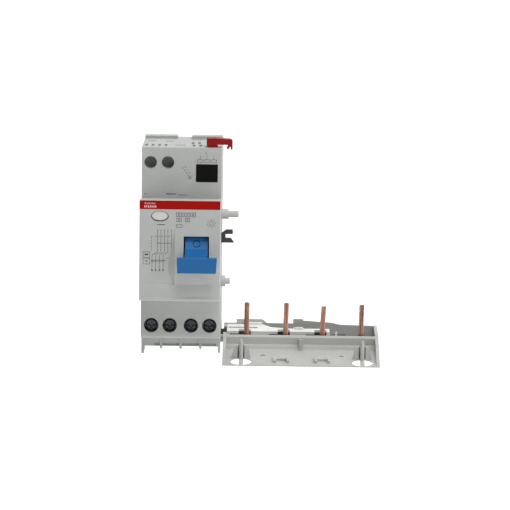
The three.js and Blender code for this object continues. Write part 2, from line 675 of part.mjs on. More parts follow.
// ---- Terminal base ---------------------------------------------------------------------------------
// Rear wall of the base, with the tabs that stand behind the breaker.
const REAR_WALL = outline([
  [BASE.x0, BASE.bottom],
  [BASE.x0, REAR_TOP],
  [24.3, REAR_TOP],
  [24.3, -41.7, 0.3],
  [36.2, -41.7, 0.6],
  [38.4, REAR_TOP, 0.6],
  [50.2, REAR_TOP],
  [50.2, -41.4, 0.3],
  [54.8, -41.4, 0.3],
  [54.8, -42.1],
  [67.8, -42.9, 0.6],
  [71.6, -43.8, 0.6],
  [86, -44.1],
  [BASE.x1, -44.3],
  [BASE.x1, BASE.bottom],
]);
// Front wall, its stepped foot and the thin flange that runs forward under the breaker.
const FRONT_OUTLINE = outline([
  [LIP.y, LIP.z - LIP.drop],
  [LIP.y + LIP.bevel, LIP.z],
  [LIP.y + BASE.wall, LIP.z, 0.3],
  [LIP.y + BASE.wall, BASE.bottom],
  [LIP.y - 0.2, BASE.bottom],
  [LIP.y - 0.2, FLANGE.root - FLANGE.thick - 0.1],
  [FLANGE.rootY, FLANGE.root - FLANGE.thick],
  [FLANGE.y, BASE.bottom],
  [FLANGE.y, FLANGE.z],
  [FLANGE.rootY, FLANGE.root, 0.5],
  [LIP.y - 0.6, LIP.z - 4.5, 0.3],
  [LIP.y, LIP.z - 4.1, 0.3],
]);
const END_OUTLINE = outline([
  [LIP.y, LIP.z - LIP.drop],
  [LIP.y + LIP.bevel, LIP.z],
  [BASE.back, LIP.z + 0.6],
  [BASE.back, BASE.bottom],
  [FLANGE.y + 0.4, BASE.bottom],
  [FLANGE.y, FLANGE.z],
]);

// Height of the flange's upper face at a depth.
const flangeTop = (y) => THREE.MathUtils.mapLinear(y, FLANGE.y, FLANGE.rootY, FLANGE.z, FLANGE.root);

// Half of a hollow cone behind a hole in the flange. Two slots part its front into fins with a locating
// pin between them, and a bar carries the pin across the hole to the flange's front edge.
function pinBoss(x) {
  const { y, foot, crown, top, pinTop } = BOSS;
  const under = flangeTop(y) - 0.3;
  const wall = 1;
  const behind = (from) => box(x - 2 * foot, x + 2 * foot, from, y + 2 * foot, BASE.bottom, 0);
  const outer = rod("z", under, top, [x, y], foot, crown, 24).intersect(behind(y));
  const core = rod("z", under - PAST, top - wall, [x, y], foot - wall, crown - wall, 24);
  const slot = { inner: 0.95, outer: 1.5 };
  const slots = [-1, 1].map((side) => {
    const ends = [x + side * slot.inner, x + side * slot.outer].sort((a, b) => a - b);
    return box(...ends, y - PAST, y + wall + PAST, flangeTop(y), top + PAST);
  });
  const pinY = y - 0.6;
  const neck = pinTop - 1.5;
  const pin = join(
    rod("z", under, neck, [x, pinY], 0.95, 0.9, 14),
    rod("z", neck - 0.1, pinTop, [x, pinY], 0.9, 0.6, 14),
  );
  const bar = outline([
    [FLANGE.y, BASE.bottom],
    [FLANGE.y, FLANGE.z],
    [y + 0.5, flangeTop(y + 0.5)],
    [y + 0.5, flangeTop(y + 0.5) - FLANGE.thick],
  ]);
  return join(cut(outer, core.intersect(behind(y + wall)), ...slots), pin, prismX(bar, x - 1, x + 1));
}

// Low H-shaped rests on the flange.
function saddle(x) {
  const front = -42;
  const back = -35;
  const sunk = 0.2;
  const post = outline([
    [front, flangeTop(front) - sunk],
    [front, flangeTop(front) + 1],
    [front + 0.8, flangeTop(front) + 1.7],
    [back, flangeTop(back) + 1.2],
    [back, flangeTop(back) - sunk],
  ]);
  const bar = outline([
    [-39, flangeTop(-39) - sunk],
    [-39, flangeTop(-39) + 1],
    [-37.6, flangeTop(-39) + 1],
    [-37.6, flangeTop(-37.6) - sunk],
  ]);
  return join(prismX(bar, x - 2.9, x + 2.9), prismX(post, x - 3.5, x - 2.3), prismX(post, x + 2.3, x + 3.5));
}

function baseTray() {
  const { x0, x1, back, wall, floor, bottom } = BASE;
  const walls = join(
    prismX(FRONT_OUTLINE, x0, x1),
    box(x0, x1, LIP.y + 1, back, bottom, floor),
    prismY(REAR_WALL, back - 1.3, back),
    prismX(END_OUTLINE, x0, x0 + wall),
    prismX(END_OUTLINE, x1 - wall, x1),
  );
  const middle = (x0 + x1) / 2;
  const gusset = box(middle - 0.8, middle + 0.8, LIP.y - 2, LIP.y + 0.5, FLANGE.root - 1, LIP.z - 1.5);
  const leadNotch = box(x0 - PAST, x0 + 3, LEAD_HALL.y0, LEAD_HALL.y1, -49.4, -40);
  const oval = (x) => {
    const edge = new THREE.EllipseCurve(x, HOLE.y, HOLE.a, HOLE.b);
    return new THREE.Shape(edge.getPoints(24).slice(1));
  };
  const holes = BOSS.x.map((x) => prismZ(oval(x), bottom - PAST, FLANGE.root + 0.5));
  const dimples = [36.5, 71.5].map((x) =>
    rod("z", flangeTop(-31) - 0.35, flangeTop(-31) + PAST, [x, -31], 1.2, 1.2, 12),
  );
  const guide = join(
    box(SEAM - 0.6, x0 + 0.5, -20, -17, -48, LIP.z - 0.4),
    box(SEAM - 1.9, SEAM - 0.3, -21.6, -15.2, -48, -33),
  );
  return join(
    cut(join(walls, gusset), leadNotch, ...holes, ...dimples),
    ...BOSS.x.map(pinBoss),
    ...SADDLE_X.map(saddle),
    guide,
  );
}

// Cover inside the base: a deck over the leads, with a notch for each copper end, then a lower plate
// with a curved guard by the last end.
function baseCover() {
  const { z, front, thick, left, right, back } = DECK;
  const deck = outline([
    [left, front],
    [right, front],
    [right, -6],
    [48, -6.5, 2],
    [40, -3.4, 2],
    [36.4, back, 1],
    [left, back],
  ]);
  const last = COPPER.x[3];
  const turn = { x: 72, y: -15.4, r: 7.4, end: 74 };
  const guard = new THREE.Shape();
  guard.absarc(turn.x, turn.y, turn.r, Math.PI, Math.PI / 2, true);
  guard.lineTo(turn.end, turn.y + turn.r);
  guard.lineTo(turn.end, turn.y + turn.r - thick);
  guard.absarc(turn.x, turn.y, turn.r - thick, Math.PI / 2, Math.PI, false);
  const snap = outline([
    [49.6, z - 0.4],
    [50, z + 0.4, 0.3],
    [51.4, z + 0.9, 0.4],
    [54.4, z + 0.9, 0.6],
    [55.6, z - 0.4],
    [54.4, z - 0.4],
    [53.8, z + 0.3],
    [51.4, z + 0.3],
    [51, z - 0.4],
  ]);
  const feet = [20.3, 52].map((x) => box(x, x + 1.2, front, front + 1, BASE.floor + 0.3, z - 0.5));
  const whole = join(
    prismZ(deck, z - thick, z),
    box(left, right, front, front + 1, -49, z - 0.5),
    box(right - 1, right, front, -6, LOW_PLATE.z0, z - 0.5),
    box(38, right, -7.5, -6.5, -47, z - 0.5),
    box(right - 1, LOW_PLATE.right, LIP.y + 1.9, back, LOW_PLATE.z0, LOW_PLATE.z1),
    prismZ(guard, LOW_PLATE.z0, -45.6),
    box(69.1, 70, -16, -15, LOW_PLATE.z0, z + 0.3),
    box(28, 36, back - 2.3, back, z - 0.5, z + 1.1),
    prismY(snap, -8.6, -7.4),
    ...feet,
  );
  const notches = COPPER.x
    .slice(0, 3)
    .flatMap((x) => [
      box(x - 3.6, x + 1.9, front - PAST, front + 5, -52, z + PAST),
      box(x - 7.5, x, front - PAST, front + 1.5, -52, z - thick - 0.2),
    ]);
  const slot = { y0: -6.6, y1: -3.4, start: 20.8, end: 32.3 };
  return cut(
    whole,
    ...notches,
    box(last - 2.4, last + 2.4, LIP.y + 1.5, -13.6, -52, -48),
    box(slot.start, slot.end, slot.y0, slot.y1, z - thick - PAST, z + PAST),
    rod("z", z - thick - PAST, z + PAST, [slot.end, (slot.y0 + slot.y1) / 2], 2, 2, 12),
  );
}

const base = new THREE.Group();
root.add(base);
piece("base_tray", baseTray(), BASE_GREY, base);
piece("base_cover", baseCover(), DECK_GREY, base);

// Insulated leads in the base, each turning forward and up to its bare copper end.
const LEANS = [0.1, 0.3, 0.5, 0.3];
COPPER.x.forEach((x, i) => {
  const lane = CABLE_LANES[i];
  const low = LEAD_LOW[i];
  const reach = COPPER.y - lane;
  const run = Math.min(-reach, 5);
  const entry = i === 0 ? [] : [[26, lane, low], [29, lane, low]];
  const points = [
    [CABLE_END + 0.3, lane, LEAD_Z],
    [21, lane, LEAD_Z],
    ...entry,
    [x - run, lane + reach * 0.15, low],
    [x - run * 0.5, lane + reach * 0.6, low],
    [x - 1, COPPER.y, low + 0.6],
    [x, COPPER.y, low + 3],
  ];
  piece(`base_lead_${i + 1}`, cable(points, CABLE_R, 18), BLACK, base);
  const end = [
    [x, COPPER.y, low + 3.6],
    [x, COPPER.y, low + 4.5],
    [x + LEANS[i] / 2, COPPER.y, -38.5],
    [x + LEANS[i], COPPER.y, COPPER.top[i]],
  ];
  piece(`copper_end_${i + 1}`, cable(end, COPPER.r, 6), COPPER_RED, base);
});

export default root;
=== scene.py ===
"""Residual current block, dressed for a photograph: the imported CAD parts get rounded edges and
procedural materials, and finer pieces replace the plainest of them. Metres, +Z up, -Y to the camera."""
import math
import random

import bmesh
import bpy
from mathutils import Matrix, Vector


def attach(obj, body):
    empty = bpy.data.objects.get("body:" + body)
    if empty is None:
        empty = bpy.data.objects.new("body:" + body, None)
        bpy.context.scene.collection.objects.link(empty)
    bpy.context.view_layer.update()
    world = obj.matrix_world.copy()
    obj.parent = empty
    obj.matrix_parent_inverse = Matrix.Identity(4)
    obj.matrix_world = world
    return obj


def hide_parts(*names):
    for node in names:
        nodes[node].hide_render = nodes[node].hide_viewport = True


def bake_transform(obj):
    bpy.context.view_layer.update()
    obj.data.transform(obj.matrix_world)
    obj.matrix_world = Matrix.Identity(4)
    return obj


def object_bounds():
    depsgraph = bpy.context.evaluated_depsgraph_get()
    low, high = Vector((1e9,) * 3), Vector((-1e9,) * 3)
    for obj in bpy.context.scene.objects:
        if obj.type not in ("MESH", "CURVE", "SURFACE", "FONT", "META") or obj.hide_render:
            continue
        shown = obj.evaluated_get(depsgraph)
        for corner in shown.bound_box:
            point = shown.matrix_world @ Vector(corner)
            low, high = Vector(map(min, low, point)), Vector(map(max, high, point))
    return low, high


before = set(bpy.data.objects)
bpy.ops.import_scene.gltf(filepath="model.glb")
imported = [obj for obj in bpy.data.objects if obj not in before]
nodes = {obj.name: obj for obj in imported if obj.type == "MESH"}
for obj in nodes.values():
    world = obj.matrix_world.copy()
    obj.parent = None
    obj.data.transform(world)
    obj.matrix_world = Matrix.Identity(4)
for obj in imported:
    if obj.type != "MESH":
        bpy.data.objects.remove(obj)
cad_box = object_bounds()
scene = bpy.context.scene
random.seed(7)
MM = 0.001

# Planes of the device that carry printing, in millimetres.
NOSE_FRONT = -63.5
SHOULDER_FRONT = -44
LEDGE_TOP = 42.6


# ---- Materials ----------------------------------------------------------------------------------
class Graph:
    """Nodes added a step at a time, with the links hidden behind short calls."""

    def __init__(self, tree):
        self.tree = tree

    def feed(self, socket, value):
        if isinstance(value, bpy.types.NodeSocket):
            self.tree.links.new(value, socket)
        else:
            socket.default_value = value

    def node(self, kind, **inputs):
        made = self.tree.nodes.new(kind)
        for name, value in inputs.items():
            self.feed(made.inputs[name.replace("_", " ")], value)
        return made

    def spread(self, value, low, high, from_low=0.3, from_high=0.7):
        """Runs from low to high as the value goes from from_low to from_high, and stays there."""
        made = self.node("ShaderNodeMapRange", Value=value)
        ends = {"From Min": from_low, "From Max": from_high, "To Min": low, "To Max": high}
        for name, end in ends.items():
            self.feed(made.inputs[name], end)
        return made.outputs["Result"]

    def maths(self, operation, first, second):
        made = self.tree.nodes.new("ShaderNodeMath")
        made.operation = operation
        self.feed(made.inputs[0], first)
        self.feed(made.inputs[1], second)
        return made.outputs[0]

    def mix(self, share, first, second):
        """The first colour where share is 0, and the second where it is 1."""
        made = self.tree.nodes.new("ShaderNodeMix")
        made.data_type = "RGBA"
        colours = [socket for socket in made.inputs if socket.type == "RGBA"]
        self.feed(made.inputs["Factor"], share)
        self.feed(colours[0], first)
        self.feed(colours[1], second)
        return next(socket for socket in made.outputs if socket.type == "RGBA")

    def tinted(self, colour, brightness):
        return self.node("ShaderNodeHueSaturation", Value=brightness, Color=colour).outputs["Color"]

    def camera_ray(self):
        """1 where the camera looks straight at the surface, and 0 where only light reaches it."""
        return self.node("ShaderNodeLightPath").outputs["Is Camera Ray"]


class Shader(Graph):
    """A node material whose textures are placed in the piece's own frame."""

    def __init__(self, name):
        self.material = bpy.data.materials.new(name)
        self.material.use_nodes = True
        super().__init__(self.material.node_tree)
        self.bsdf = self.tree.nodes["Principled BSDF"]
        self.where = self.node("ShaderNodeTexCoord").outputs["Object"]

    def along(self, axis):
        return self.node("ShaderNodeSeparateXYZ", Vector=self.where).outputs[axis]

    def noise(self, per_mm, detail=3.0, stretch=None):
        """A grey noise value whose grains repeat about per_mm times in a millimetre."""
        where = self.where
        if stretch:
            where = self.node("ShaderNodeMapping", Vector=where, Scale=stretch).outputs["Vector"]
        made = self.node("ShaderNodeTexNoise", Vector=where, Scale=per_mm / MM, Detail=detail)
        return made.outputs["Fac"]

    def bump(self, height, strength, distance_mm):
        made = self.node("ShaderNodeBump", Height=height, Strength=strength, Distance=distance_mm * MM)
        self.feed(self.bsdf.inputs["Normal"], made.outputs["Normal"])

    def set(self, **inputs):
        for name, value in inputs.items():
            self.feed(self.bsdf.inputs[name.replace("_", " ")], value)


def rgb(hexcode):
    """A display colour as linear light."""
    channels = [int(hexcode[i : i + 2], 16) / 255 for i in (0, 2, 4)]
    linear = [c / 12.92 if c < 0.04045 else ((c + 0.055) / 1.055) ** 2.4 for c in channels]
    return (*linear, 1.0)


# How noises are stretched along Z, and the places in mm where a material changes.
UPRIGHT_STREAKS = (1, 1, 0.12)
DRAWN_UPRIGHT = (1, 1, 0.1)
WIRE_UPRIGHT = (1, 1, 0.04)
# Where the deck's plastic gets painted shade, below its top and behind its front wall, and how dark
# that painted shade is.
HOLLOW_TOP = -44.95
HOLLOW_FRONT = -13.4
HOLLOW_SHADE = 0.25
# Where the toggle's blue gets painted light, and how much brighter it is made below and above the axle.
TOGGLE_LIGHT_FROM = -1.5
TOGGLE_LIGHT_TO = 1
TOGGLE_LIGHT_BELOW = 1.1
TOGGLE_LIGHT_ABOVE = 1.65
CUT_FROM = -32.2
CUT_TO = -31.2


def painted_hollow_shade(s):
    """Brightness of the deck's plastic, with painted shade: dark below its top and behind its front
    wall, where the hollow under the deck is in shade.
    """
    above = s.spread(s.along("Z"), 0, 1, (HOLLOW_TOP - 0.1) * MM, HOLLOW_TOP * MM)
    before = s.spread(s.along("Y"), 1, 0, HOLLOW_FRONT * MM, (HOLLOW_FRONT + 0.2) * MM)
    return s.spread(s.maths("MAXIMUM", above, before), HOLLOW_SHADE, 1, 0, 1)


def painted_toggle_light(s):
    """Brightness of the toggle's plastic, with painted light: much brighter above the axle, which lifts
    the drum out of the window's shadow, and a little brighter below it.
    """
    return s.spread(s.along("Z"), TOGGLE_LIGHT_BELOW, TOGGLE_LIGHT_ABOVE, TOGGLE_LIGHT_FROM * MM, TOGGLE_LIGHT_TO * MM)


def plastic(name, hexcode, rough=0.5, grain=0.02, vary=0.04, gloss=0.35, shade=None):
    """Moulded plastic: cloudy colour, a fine spark-eroded grain, faint worn streaks in the roughness,
    and painted light and shade from a shade function, where one is given.
    """
    s = Shader(name)
    clouds = s.spread(s.noise(0.12), 1 - vary, 1 + vary)
    # A shade function multiplies painted light and shade into the cloudy colour.
    if shade:
        clouds = s.maths("MULTIPLY", clouds, shade(s))
    streaks = s.spread(s.noise(0.5, 5.0, stretch=UPRIGHT_STREAKS), -0.05, 0.07)
    roughness = s.maths("ADD", streaks, rough)
    s.set(Base_Color=s.tinted(rgb(hexcode), clouds), Roughness=roughness, Specular_IOR_Level=gloss)
    s.bump(s.maths("ADD", s.noise(5.0, 2.0), s.spread(s.noise(0.3), 0, 0.5)), 0.25, grain)
    return s.material


def metal(name, hexcode, rough=0.35, scratch=0.01, along=(1, 1, 1)):
    """Metal with tarnish clouds and drawing marks, stretched along one axis where that is asked for."""
    s = Shader(name)
    tarnish = s.spread(s.noise(0.5), 0.72, 1.12)
    marks = s.noise(4.0, 4.0, stretch=along)
    wear = s.spread(marks, rough - 0.1, rough + 0.15)
    s.set(Base_Color=s.tinted(rgb(hexcode), tarnish), Roughness=wear, Metallic=1.0)
    s.bump(marks, 0.3, scratch)
    return s.material


def bare_wire(name, hexcode, tip_hexcode):
    """Drawn copper: streaky tone along the wires, tarnish that also stands in for painted shade between
    the wires, and dull grey where the ends were cut.
    """
    s = Shader(name)
    # Streaky tarnish along the wires, darkened so that it also stands in for painted shade between the
    # wires.
    streaks = s.spread(s.noise(1.6, 4.0, stretch=WIRE_UPRIGHT), 0.5, 1.25, 0.35, 0.65)
    cut = s.spread(s.along("Z"), 0, 0.5, CUT_FROM * MM, CUT_TO * MM)
    colour = s.mix(cut, s.tinted(rgb(hexcode), streaks), rgb(tip_hexcode))
    marks = s.noise(4.0, 4.0, stretch=DRAWN_UPRIGHT)
    s.set(Base_Color=colour, Roughness=s.spread(marks, 0.3, 0.5), Metallic=1.0)
    s.bump(marks, 0.3, 0.01)
    return s.material


def ink(name, hexcode):
    """Pad-printed ink, broken up a little where it has worn."""
    s = Shader(name)
    worn = s.spread(s.noise(1.8), 0.45, 0.95, 0.35, 0.55)
    s.set(Base_Color=rgb(hexcode), Roughness=s.spread(s.noise(2.0), 0.4, 0.6), Alpha=worn)
    return s.material


GREY = plastic("housing_grey", "b6b8b5", 0.5)
PEG_GREY = plastic("peg_grey", "b4b6b3", 0.5)
BASE_GREY = plastic("base_grey", "b4b5b1", 0.5)
# The deck's plastic carries painted shade in the hollow under it.
DECK_GREY = plastic("deck_grey", "e2e3df", 0.45, shade=painted_hollow_shade)
# The toggle's blue carries painted light, brighter above its axle.
BLUE = plastic("toggle_blue", "1d6098", 0.42, vary=0.03, gloss=0.25, shade=painted_toggle_light)
STRIPE_RED = plastic("stripe_red", "a00802", 0.45, grain=0.01, gloss=0.1)
LATCH_RED = plastic("latch_red", "8e0c12", 0.4, gloss=0.2)
WHITE = plastic("button_white", "d2d3cc", 0.35, grain=0.01)
BLACK = plastic("black_plastic", "080808", 0.5, gloss=0.12)
DARK_FORK = plastic("fork_black", "3c3b3a", 0.5)
CABLE = plastic("cable_black", "161616", 0.55)
STEEL = metal("steel", "9b9ea1")
DARK_STEEL = metal("dark_steel", "45494b", 0.3)
COPPER = metal("copper", "cc9f8c", 0.35, along=DRAWN_UPRIGHT)
WIRE = bare_wire("wire_copper", "d3a28e", "9a908b")
BRASS = metal("brass", "c2a35a", 0.3)
BOARD = plastic("board_green", "2c5d3a", 0.5)
CORE = plastic("core_grey", "4b4d50", 0.5)
DISC = plastic("disc_blue", "2f4f8f", 0.35)
FILM = plastic("film_red", "8c3a2c", 0.35)
INK = ink("print_ink", "565959")
BLUE_INK = ink("toggle_ink", "123c63")
PALE_INK = ink("pale_ink", "e6c9c5")

# What each part is made of, by the start of its name.
COATS = {
    "housing_body": GREY,
    "side_cover": GREY,
    "joining_peg": PEG_GREY,
    "front_stripe": STRIPE_RED,
    "latch_lever": LATCH_RED,
    "test_button": WHITE,
    "lock_button": BLACK,
    "toggle_axle": STEEL,
    "toggle_spring": STEEL,
    "toggle": BLUE,
    "trip_fork": DARK_FORK,
    "trip_relay": DARK_STEEL,
    "terminal_screw": DARK_STEEL,
    "terminal_cage": STEEL,
    "terminal_bar": COPPER,
    "toroid_winding": COPPER,
    "toroid_core": CORE,
    "test_contact_spring": BRASS,
    "relay_plunger": BRASS,
    "test_resistor": BRASS,
    "circuit_board": BOARD,
    "surge_varistor": DISC,
    "filter_capacitor": FILM,
    "din_clip": BLACK,
    "base_tray": BASE_GREY,
    "base_cover": DECK_GREY,
    "base_lead": CABLE,
    "pole_cable": CABLE,
    "copper_end": COPPER,
    "rivet": STEEL,
    "latch_pin": STEEL,
    "fork_axle": STEEL,
}
# How wide the rounding of a part's edges is, in mm.
EDGES = {
    "housing_body": 0.2,
    "side_cover": 0.15,
    "base_tray": 0.15,
    "base_cover": 0.12,
    "toggle": 0.35,
    "latch_lever": 0.15,
    "trip_fork": 0.2,
    "din_clip": 0.2,
    "lock_button": 0.25,
    "test_button": 0.2,
    "joining_peg_upper": 0.2,
    "joining_peg_lower": 0.2,
}
SHARP = math.radians(35)
SHALLOW = math.radians(8)
COPLANAR = math.radians(0.5)
LONG_CREASE = 2
MOSTLY_ALONG = 0.9


def coat_for(node):
    """The material whose key is the longest start of the node's name."""
    best = max((key for key in COATS if node.startswith(key)), key=len)
    return COATS[best]


def round_edges(thing, width_mm):
    flat = thing.modifiers.new("flat_faces", "DECIMATE")
    flat.decimate_type = "DISSOLVE"
    flat.angle_limit = COPLANAR
    bevel = thing.modifiers.new("round_edges", "BEVEL")
    bevel.width = width_mm * MM
    bevel.segments = 2
    bevel.limit_method = "ANGLE"
    bevel.angle_limit = SHARP
    bevel.use_clamp_overlap = False
    bevel.harden_normals = True


def keep_creases(mesh):
    """Keeps the long, shallow creases that run across the block crisp, so that flat faces stay flat."""
    shape = bmesh.new()
    shape.from_mesh(mesh)
    shape.edges.ensure_lookup_table()
    for edge in shape.edges:
        along = edge.verts[1].co - edge.verts[0].co
        is_long = abs(along.x) > max(LONG_CREASE * MM, MOSTLY_ALONG * along.length)
        if is_long and edge.is_manifold and edge.calc_face_angle() > SHALLOW:
            mesh.edges[edge.index].use_edge_sharp = True
    shape.free()


def coat_cad_parts():
    for name, node in nodes.items():
        node.data.materials.clear()
        node.data.materials.append(coat_for(name))
        for face in node.data.polygons:
            face.use_smooth = True
        node.data.set_sharp_from_angle(angle=SHARP)
    for name in ("housing_body", "side_cover", "base_tray"):
        keep_creases(nodes[name].data)
    for name, width in EDGES.items():
        round_edges(nodes[name], width)


# ---- Pieces built here --------------------------------------------------------------------------
def add_piece(name, shape, material):
    """Turns a bmesh drawn in millimetres into a mesh in metres."""
    bmesh.ops.scale(shape, vec=(MM, MM, MM), verts=shape.verts)
    bmesh.ops.recalc_face_normals(shape, faces=shape.faces)
    mesh = bpy.data.meshes.new(name)
    shape.to_mesh(mesh)
    shape.free()
    mesh.materials.append(material)
    for face in mesh.polygons:
        face.use_smooth = True
    mesh.set_sharp_from_angle(angle=SHARP)
    made = bpy.data.objects.new(name, mesh)
    scene.collection.objects.link(made)
    return made


def tube(shape, path, radius, sides=10):
    """Sweeps a round section along a path without letting it twist, and closes both ends."""
    rings = []
    across = None
    last = len(path) - 1
    for i, point in enumerate(path):
        ahead = (path[min(i + 1, last)] - path[max(i - 1, 0)]).normalized()
        if across is None:
            across = ahead.orthogonal().normalized()
        across = (across - ahead * across.dot(ahead)).normalized()
        other = ahead.cross(across)
        ring = []
        for k in range(sides):
            turn = 2 * math.pi * k / sides
            spoke = across * math.cos(turn) + other * math.sin(turn)
            ring.append(shape.verts.new(point + spoke * radius))
        rings.append(ring)
    for a, b in zip(rings, rings[1:]):
        for k in range(sides):
            after = (k + 1) % sides
            shape.faces.new((a[k], a[after], b[after], b[k]))
    shape.faces.new(rings[0])
    shape.faces.new(rings[-1])


def smooth_path(knots, per_span=8):
    """A centripetal Catmull-Rom curve through the knots."""
    points = [Vector(k) for k in knots]
    points = [2 * points[0] - points[1], *points, 2 * points[-1] - points[-2]]
    path = []
    for p0, p1, p2, p3 in zip(points, points[1:], points[2:], points[3:]):
        t1 = (p1 - p0).length ** 0.5
        t2 = t1 + (p2 - p1).length ** 0.5
        t3 = t2 + (p3 - p2).length ** 0.5
        for i in range(per_span):
            t = t1 + (t2 - t1) * i / per_span
            a1 = p0 * (t1 - t) / t1 + p1 * t / t1
            a2 = p1 * (t2 - t) / (t2 - t1) + p2 * (t - t1) / (t2 - t1)
            a3 = p2 * (t3 - t) / (t3 - t2) + p3 * (t - t2) / (t3 - t2)
            b1 = a1 * (t2 - t) / t2 + a2 * t / t2
            b2 = a2 * (t3 - t) / (t3 - t1) + a3 * (t - t1) / (t3 - t1)
            path.append(b1 * (t2 - t) / (t2 - t1) + b2 * (t - t1) / (t2 - t1))
    path.append(points[-2])
    return path


# ---- Cables: each runs from a terminal, through the core, out of the block and up in the base ----
# Places are in mm, with one value for each pole. A lane is where a pole's cable runs down the back.
POLES = range(4)
POLE_X = (-12.85, -4.7, 4.7, 12.85)
TERMINAL_Y = -31.6
TERMINAL_Z = -27.4
OUTER_POLE = 9
CORE_AT = Vector((0, -21, -12))
FROM_CORE_AXIS = 1.6
LANE_Y = (-5.9, -11.9, -8.9, -2.9)
LEAD_Z = -46.4
LOW_Z = (-50.9, -48.4, -48.4, -51.2)
LONGEST_BEND = 5
CABLE_RADIUS = 1.35

# The bare ends lean and stop at uneven heights, as hand-bent wires do.
COPPER_X = (29.1, 46.7, 63.3, 80.6)
COPPER_Y = -17
COPPER_FOOT = 3
COPPER_TOP_Z = (-30.5, -30.5, -31.8, -31)
LEANS = (0.1, 0.3, 0.5, 0.3)
STRAND = 0.23
STRAND_LAY = 40.0
STRAND_STEPS = 16
UNEVEN = 0.15


def cable_knots(i):
    x = POLE_X[i]
    lane = LANE_Y[i]
    low = LOW_Z[i]
    near_x = math.copysign(FROM_CORE_AXIS, x)
    near_z = CORE_AT.z + (FROM_CORE_AXIS if abs(x) > OUTER_POLE else -FROM_CORE_AXIS)
    target = COPPER_X[i]
    reach = COPPER_Y - lane
    run = min(-reach, LONGEST_BEND)
    # Up from the terminal and in towards the core's axis.
    from_terminal = [
        (x, TERMINAL_Y, TERMINAL_Z),
        (x * 0.92, TERMINAL_Y, -22.5),
        ((x + near_x) / 2, -31, (near_z - 20) / 2),
    ]
    through_core = [
        (near_x, -27.5, near_z),
        (near_x, CORE_AT.y, near_z),
        (near_x, lane - 3, near_z),
    ]
    down_back = [
        (near_x, lane, near_z - 3),
        (near_x, lane, near_z - 6),
        (near_x, lane, -35),
        (near_x + 1, lane, -39),
    ]
    # Level out of the block's side and into the base, which is where the cable bends in use.
    out_of_block = [(along, lane, LEAD_Z) for along in (6.5, 9, 13, 17, 20.5)]
    along_base = [(26, lane, low), (29, lane, low)] if i > 0 else []
    up_to_copper = [
        (target - run, lane + reach * 0.15, low),
        (target - run * 0.5, lane + reach * 0.6, low),
        (target - 1, COPPER_Y, low + 0.6),
        (target, COPPER_Y, low + COPPER_FOOT),
    ]
    return from_terminal + through_core + down_back + out_of_block + along_base + up_to_copper


def cables():
    for i in POLES:
        shape = bmesh.new()
        tube(shape, smooth_path(cable_knots(i)), CABLE_RADIUS, sides=14)
        made = add_piece(f"insulated_cable_{i + 1}", shape, CABLE)
        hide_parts(f"pole_cable_{i + 1}", f"base_lead_{i + 1}")
        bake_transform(made)


def strand_path(i, ring, turned):
    """One wire of a copper end, laid round the middle one at ring times the strand's width."""
    bottom = LOW_Z[i] + COPPER_FOOT
    height = COPPER_TOP_Z[i] - bottom
    away = ring * 2 * STRAND
    path = []
    for step in range(STRAND_STEPS + 1):
        rise = height * step / STRAND_STEPS
        turn = turned + 2 * math.pi * rise / STRAND_LAY
        lean = LEANS[i] * (rise / height) ** 2
        across = COPPER_X[i] + lean + away * math.cos(turn)
        path.append(Vector((across, COPPER_Y + away * math.sin(turn), bottom + rise)))
    path[-1].z += random.uniform(-UNEVEN, UNEVEN)
    return path


def copper_ends():
    """Bare ends: one wire in the middle, six laid round it and twelve round those."""
    for i in POLES:
        shape = bmesh.new()
        for ring, count in enumerate((1, 6, 12)):
            for k in range(count):
                tube(shape, strand_path(i, ring, 2 * math.pi * k / count), STRAND, sides=8)
        made = add_piece(f"stranded_end_{i + 1}", shape, WIRE)
        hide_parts(f"copper_end_{i + 1}")
        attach(made, "base")


WINDING_TURNS = 44
STEPS_PER_TURN = 16
WINDING_GAP = math.radians(22)
CORE_MIDDLE = 9.5
HALF_WALL = 3.5
HALF_DEPTH = 5.0
SQUARENESS = 0.4
ENAMELLED_WIRE = 0.3


def squared(value):
    """Pushes a sine towards -1 or 1, which turns a round loop into a nearly square one."""
    return math.copysign(abs(value) ** SQUARENESS, value)


def winding():
    """Enamelled wire wound round the core, leaving a gap at the top."""
    steps = WINDING_TURNS * STEPS_PER_TURN
    path = []
    for step in range(steps + 1):
        t = step / steps
        around = math.pi / 2 + WINDING_GAP + t * (2 * math.pi - 2 * WINDING_GAP)
        wrap = 2 * math.pi * t * WINDING_TURNS
        from_axis = CORE_MIDDLE + HALF_WALL * squared(math.cos(wrap))
        along_axis = HALF_DEPTH * squared(math.sin(wrap))
        place = Vector((from_axis * math.cos(around), along_axis, from_axis * math.sin(around)))
        path.append(CORE_AT + place)
    shape = bmesh.new()
    tube(shape, path, ENAMELLED_WIRE, sides=6)
    made = add_piece("wound_wire", shape, COPPER)
    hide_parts("toroid_winding")
    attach(made, "block")


# ---- Printing: thin ink lines, with plain bars where a real device carries words -----------------
FINE = 0.18
BOLD = 0.25


